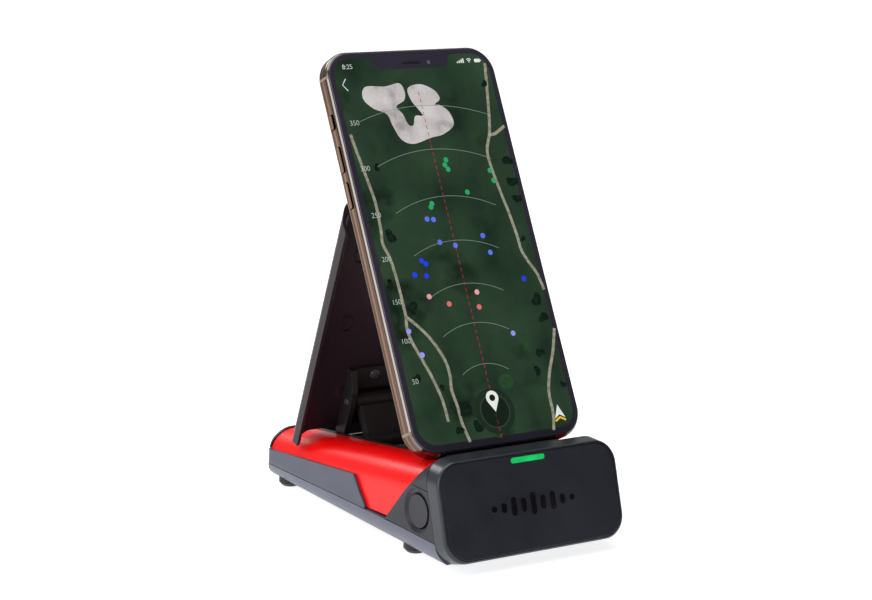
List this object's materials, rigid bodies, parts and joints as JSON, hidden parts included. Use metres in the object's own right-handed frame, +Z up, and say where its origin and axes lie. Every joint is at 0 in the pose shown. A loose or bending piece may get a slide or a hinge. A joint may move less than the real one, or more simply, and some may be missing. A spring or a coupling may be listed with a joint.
{
  "type": "golf launch monitor",
  "caption": "Wedge-shaped golf launch monitor with a folding easel stand behind a front cradle, a tilted lit front face, and a phone standing in the cradle as its display.",
  "frame": {"origin": "on the ground under the middle of the whole object's box, stand open and phone docked", "axes": "+Z up, the front face looks along -Y, +X to the right as seen from the front"},
  "size_m": [0.081, 0.1302, 0.1757],
  "materials": {
    "red_shell": "satin moulded red plastic",
    "grey_shell": "fine-textured slate grey plastic",
    "pan_shell": "fine-textured charcoal plastic",
    "black_shell": "satin black plastic",
    "face_shell": "fine matte blue-black plastic",
    "stand_shell": "satin charcoal plastic",
    "inner_black": "matt black plastic",
    "rubber": "soft black rubber",
    "light_pipe": "green lit light pipe",
    "steel": "plain steel",
    "roller": "natural acetal",
    "circuit_board": "green solder mask",
    "chip_black": "black moulded package",
    "connector": "cream connector plastic",
    "copper_patch": "gold-plated copper",
    "battery_wrap": "foil battery wrap",
    "tape": "double-sided foam tape",
    "phone_gold": "polished gold-tone metal",
    "antenna_plastic": "band-coloured plastic",
    "screen_glass": "dark glass over a lit range map",
    "display_panel": "display panel",
    "back_glass": "satin pale gold glass"
  },
  "bodies": {
    "base": {"battery": "battery_wrap", "battery_plug": "connector", "battery_tape": "tape", "board_chips": "chip_black", "board_screws": "steel", "button_board": "circuit_board", "button_ring": "black_shell", "button_switch": "chip_black", "case_screws": "steel", "charging_socket": "steel", "cradle_pad": "rubber", "deck_cover": "red_shell", "face_plate": "face_shell", "feet": "rubber", "front_bezel": "black_shell", "front_housing": "black_shell", "hinge_well": "inner_black", "led_board": "circuit_board", "light_pipe": "light_pipe", "lower_pan": "pan_shell", "main_board": "circuit_board", "phone_cradle": "black_shell", "radar_board": "circuit_board", "radar_patches": "copper_patch", "radio_module": "chip_black", "rear_cap": "black_shell", "shield_can": "steel", "side_trim": "grey_shell", "socket_board": "circuit_board", "status_leds": "connector", "strut_pin": "steel", "top_housing": "black_shell"},
    "strut": {"strut": "inner_black"},
    "stand": {"stand_cover": "stand_shell", "stand_bracket": "inner_black", "bracket_screws": "steel", "upper_pin": "steel", "slide_pin": "steel", "slide_rollers": "roller", "rest_pad": "rubber"},
    "phone": {"phone_antenna_lines": "antenna_plastic", "phone_back_glass": "back_glass", "phone_battery": "battery_wrap", "phone_board": "circuit_board", "phone_camera_island": "back_glass", "phone_display": "display_panel", "phone_end_screws": "steel", "phone_frame": "phone_gold", "phone_front_glass": "screen_glass", "phone_lens_rings": "phone_gold", "phone_port": "steel"},
    "power_button": {"power_button": "black_shell"},
    "volume_up": {"phone_volume_up": "phone_gold"},
    "volume_down": {"phone_volume_down": "phone_gold"},
    "ring_switch": {"phone_ring_switch": "phone_gold"},
    "side_key": {"phone_side_key": "phone_gold"}
  },
  "joints": [
    {"name": "stand_fold", "type": "hinge", "parent": "base", "child": "strut", "pos_m": [0, 0.0281, 0.0238], "axis": [-1, 0, 0], "range_deg": [0, 66]},
    {"name": "stand_hinge", "type": "hinge", "parent": "strut", "child": "stand", "pos_m": [0, 0.0371, 0.03822], "axis": [1, 0, 0], "range_deg": [0, 132]},
    {"name": "phone_liftoff", "type": "slide", "parent": "base", "child": "phone", "axis": [0, -0.2756, 0.9613], "range_m": [0, 0.1958]},
    {"name": "power_press", "type": "slide", "parent": "base", "child": "power_button", "axis": [1, 0, 0], "range_m": [0, 0.0006], "stiffness_N_per_m": 1500},
    {"name": "volume_up_press", "type": "slide", "parent": "phone", "child": "volume_up", "axis": [1, 0, 0], "range_m": [0, 0.0003], "stiffness_N_per_m": 600},
    {"name": "volume_down_press", "type": "slide", "parent": "phone", "child": "volume_down", "axis": [1, 0, 0], "range_m": [0, 0.0003], "stiffness_N_per_m": 600},
    {"name": "side_key_press", "type": "slide", "parent": "phone", "child": "side_key", "axis": [-1, 0, 0], "range_m": [0, 0.0003], "stiffness_N_per_m": 600},
    {"name": "ring_switch_slide", "type": "slide", "parent": "phone", "child": "ring_switch", "axis": [0, -0.8788, 0.4772], "range_m": [-0.0005, 0.0005]}
  ],
  "couplings": [
    {"joint": "stand_fold", "follows": "phone_liftoff", "rad_per_m": 5.882},
    {"joint": "stand_hinge", "follows": "phone_liftoff", "rad_per_m": 11.764}
  ]
}
